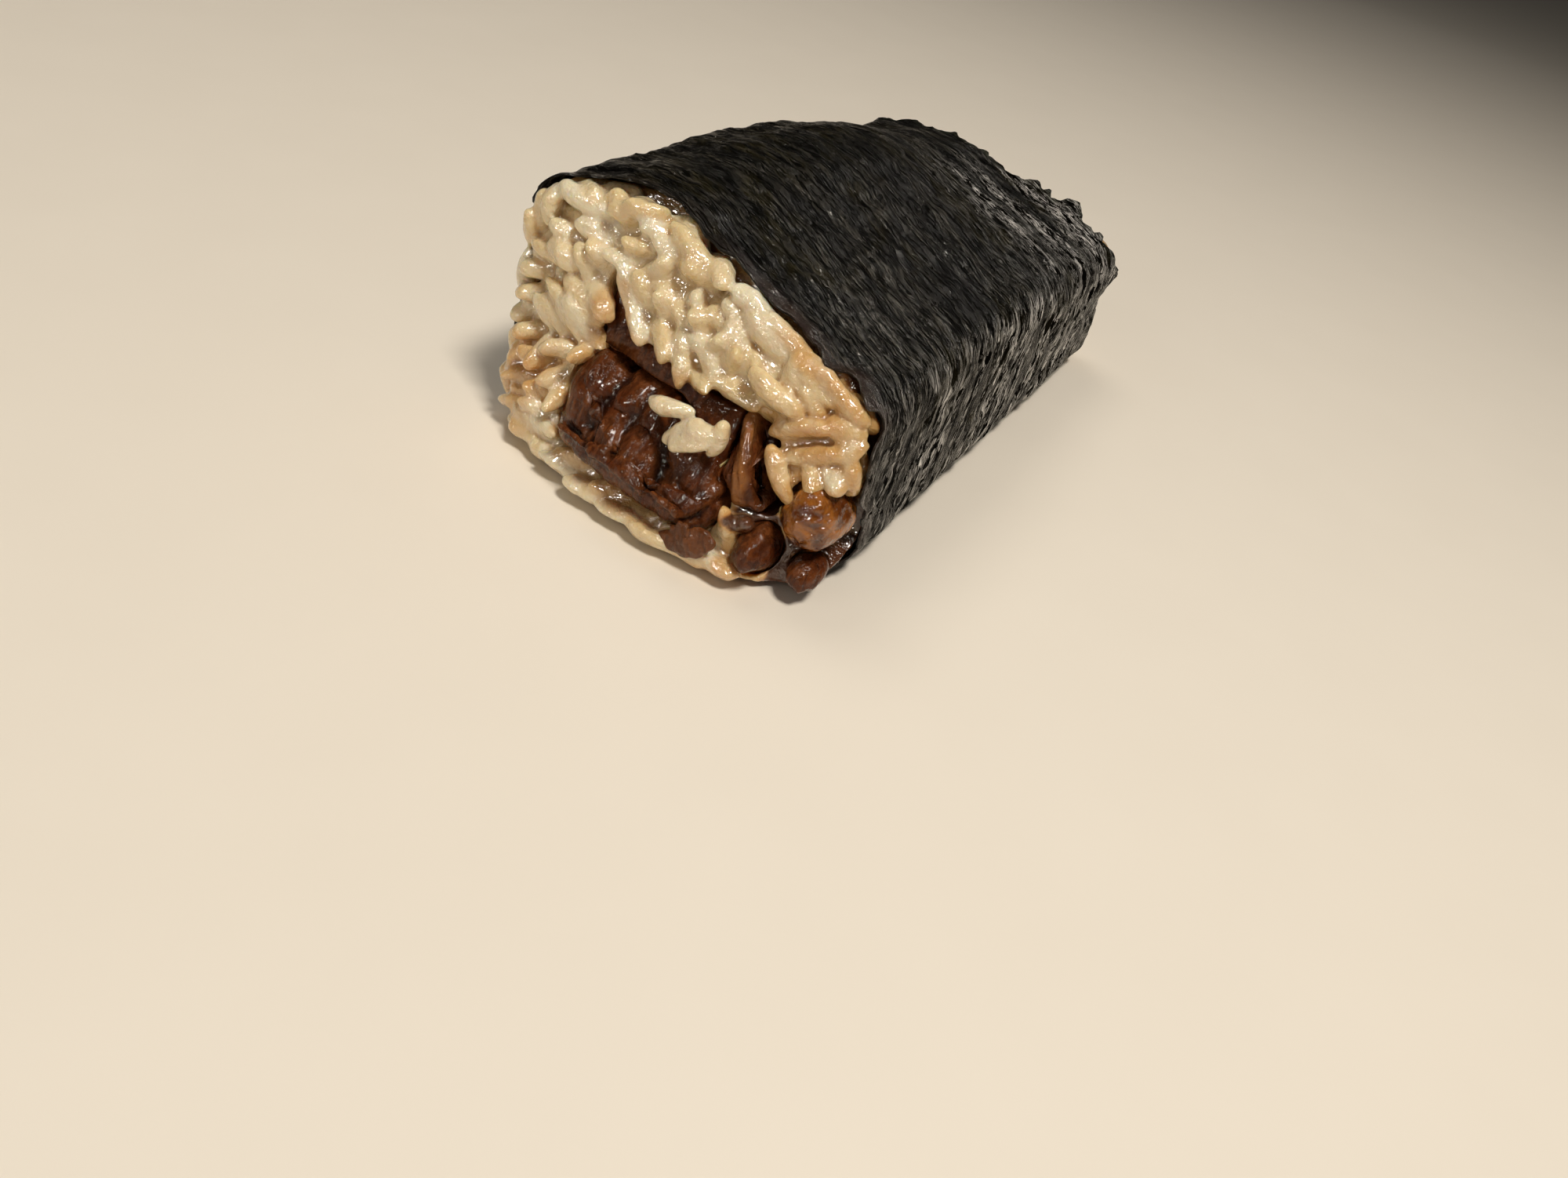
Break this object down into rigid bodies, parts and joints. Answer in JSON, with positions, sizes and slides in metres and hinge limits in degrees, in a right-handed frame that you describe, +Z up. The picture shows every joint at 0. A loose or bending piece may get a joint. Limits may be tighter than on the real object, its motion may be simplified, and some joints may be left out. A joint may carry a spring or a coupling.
{
  "type": "musubi",
  "caption": "Musubi: a block of sticky rice with glazed beef slices running through its middle, wrapped in a sheet of nori that stays open at both ends.",
  "frame": {"origin": "middle of the flat patch of the wrap that the musubi rests on", "axes": "+X across the block, +Y along it towards the far end, with the bulging front end at -Y, +Z up"},
  "size_m": [0.0508, 0.1101, 0.0341],
  "materials": {
    "nori": "near-black green roasted seaweed, fibrous and blistered, with a broad grey sheen",
    "rice": "moist translucent short-grain rice, cream, stained tan by sauce in places",
    "beef": "braised beef, dark red-brown, wrinkled and glossy with sauce",
    "glaze": "beef lump under a thick caramel-brown glaze"
  },
  "bodies": {
    "root": {"nori": "nori", "rice": "rice", "rice_clump": "rice", "beef_roll": "beef", "beef_upper_slice": "beef", "beef_side_slice": "beef", "beef_dark_lump": "beef", "beef_small_bit": "beef", "beef_glazed_lump": "glaze"}
  },
  "joints": []
}
